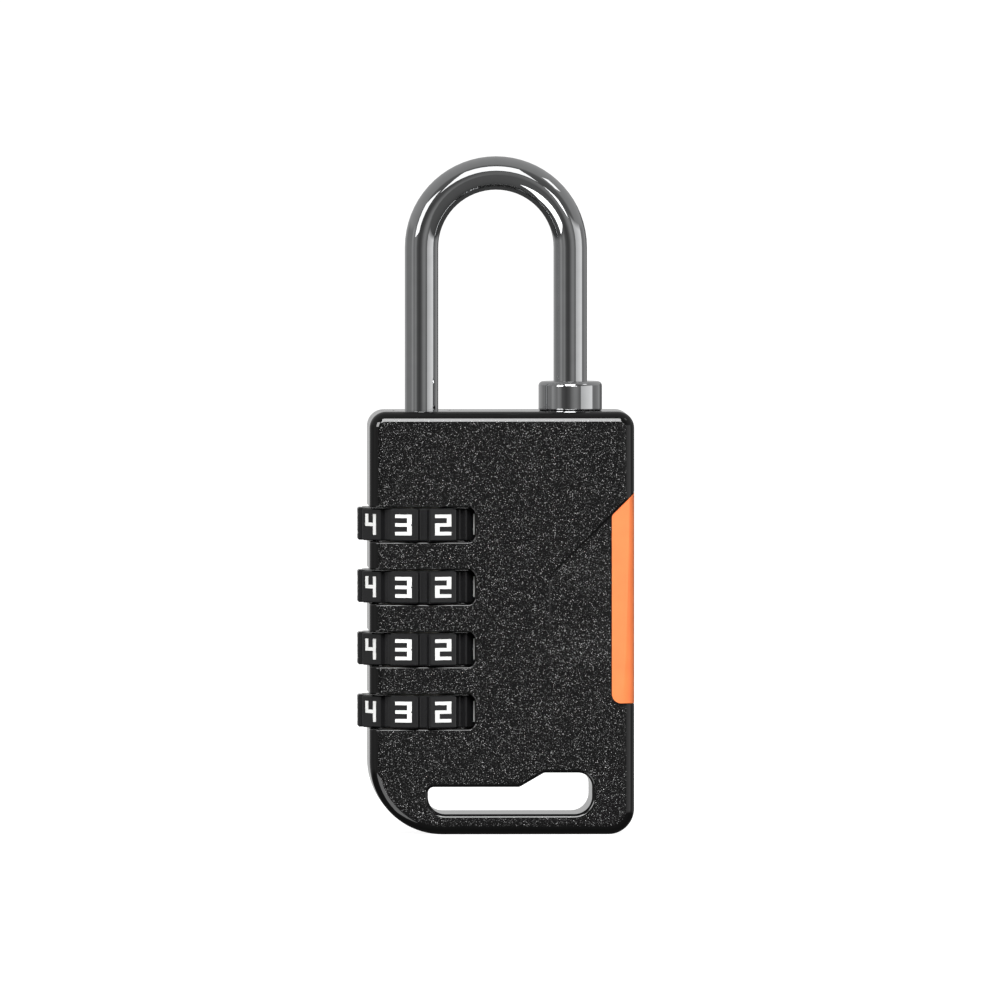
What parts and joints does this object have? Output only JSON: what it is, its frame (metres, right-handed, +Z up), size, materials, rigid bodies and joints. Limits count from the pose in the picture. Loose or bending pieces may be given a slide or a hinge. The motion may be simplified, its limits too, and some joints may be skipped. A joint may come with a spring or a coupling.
{
  "type": "combination padlock",
  "caption": "Combination padlock: black die-cast body with a slotted foot, chrome U shackle and collar, stacked side dials with white numerals, coloured edge insert.",
  "frame": {"origin": "middle of the flat bottom face of the lock body", "axes": "+Z up along the shackle legs, -Y out of the front face, +X to the right of someone facing the front"},
  "size_m": [0.0416, 0.0196, 0.1023],
  "materials": {
    "body_paint": "gloss black paint with fine metal flake",
    "chrome_plate": "bright chrome plate",
    "dial_plastic": "semi-gloss moulded ABS",
    "accent_plastic": "satin moulded orange",
    "numeral_white": "white paint fill",
    "sleeve_brass": "turned and milled",
    "spring_steel": "drawn wire",
    "steel_pin": "ground"
  },
  "bodies": {
    "lock_body": {"front_shell": "body_paint", "back_shell": "body_paint", "shell_dowels": "steel_pin", "side_insert": "accent_plastic", "guide_bushing": "chrome_plate", "toe_collar": "chrome_plate", "lift_spring": "spring_steel", "spring_seat": "spring_steel", "click_ball_1": "steel_pin", "click_spring_1": "spring_steel", "click_ball_2": "steel_pin", "click_spring_2": "spring_steel", "click_ball_3": "steel_pin", "click_spring_3": "spring_steel", "click_ball_4": "steel_pin", "click_spring_4": "spring_steel"},
    "shackle": {"shackle": "chrome_plate"},
    "dial_1": {"dial_ring_1": "dial_plastic", "cam_sleeve_1": "sleeve_brass"},
    "dial_2": {"dial_ring_2": "dial_plastic", "cam_sleeve_2": "sleeve_brass"},
    "dial_3": {"dial_ring_3": "dial_plastic", "cam_sleeve_3": "sleeve_brass"},
    "dial_4": {"dial_ring_4": "dial_plastic", "cam_sleeve_4": "sleeve_brass"}
  },
  "joints": [
    {"name": "shackle_lift", "type": "slide", "parent": "lock_body", "child": "shackle", "axis": [0, 0, 1], "range_m": [0, 0.0072], "deforming": ["lift_spring"]},
    {"name": "dial_1_spin", "type": "hinge", "parent": "lock_body", "child": "dial_1", "pos_m": [-0.01193, 0, 0.04683], "axis": [0, 0, 1], "continuous": true},
    {"name": "dial_2_spin", "type": "hinge", "parent": "lock_body", "child": "dial_2", "pos_m": [-0.01193, 0, 0.03741], "axis": [0, 0, 1], "continuous": true},
    {"name": "dial_3_spin", "type": "hinge", "parent": "lock_body", "child": "dial_3", "pos_m": [-0.01193, 0, 0.02799], "axis": [0, 0, 1], "continuous": true},
    {"name": "dial_4_spin", "type": "hinge", "parent": "lock_body", "child": "dial_4", "pos_m": [-0.01193, 0, 0.01857], "axis": [0, 0, 1], "continuous": true}
  ]
}
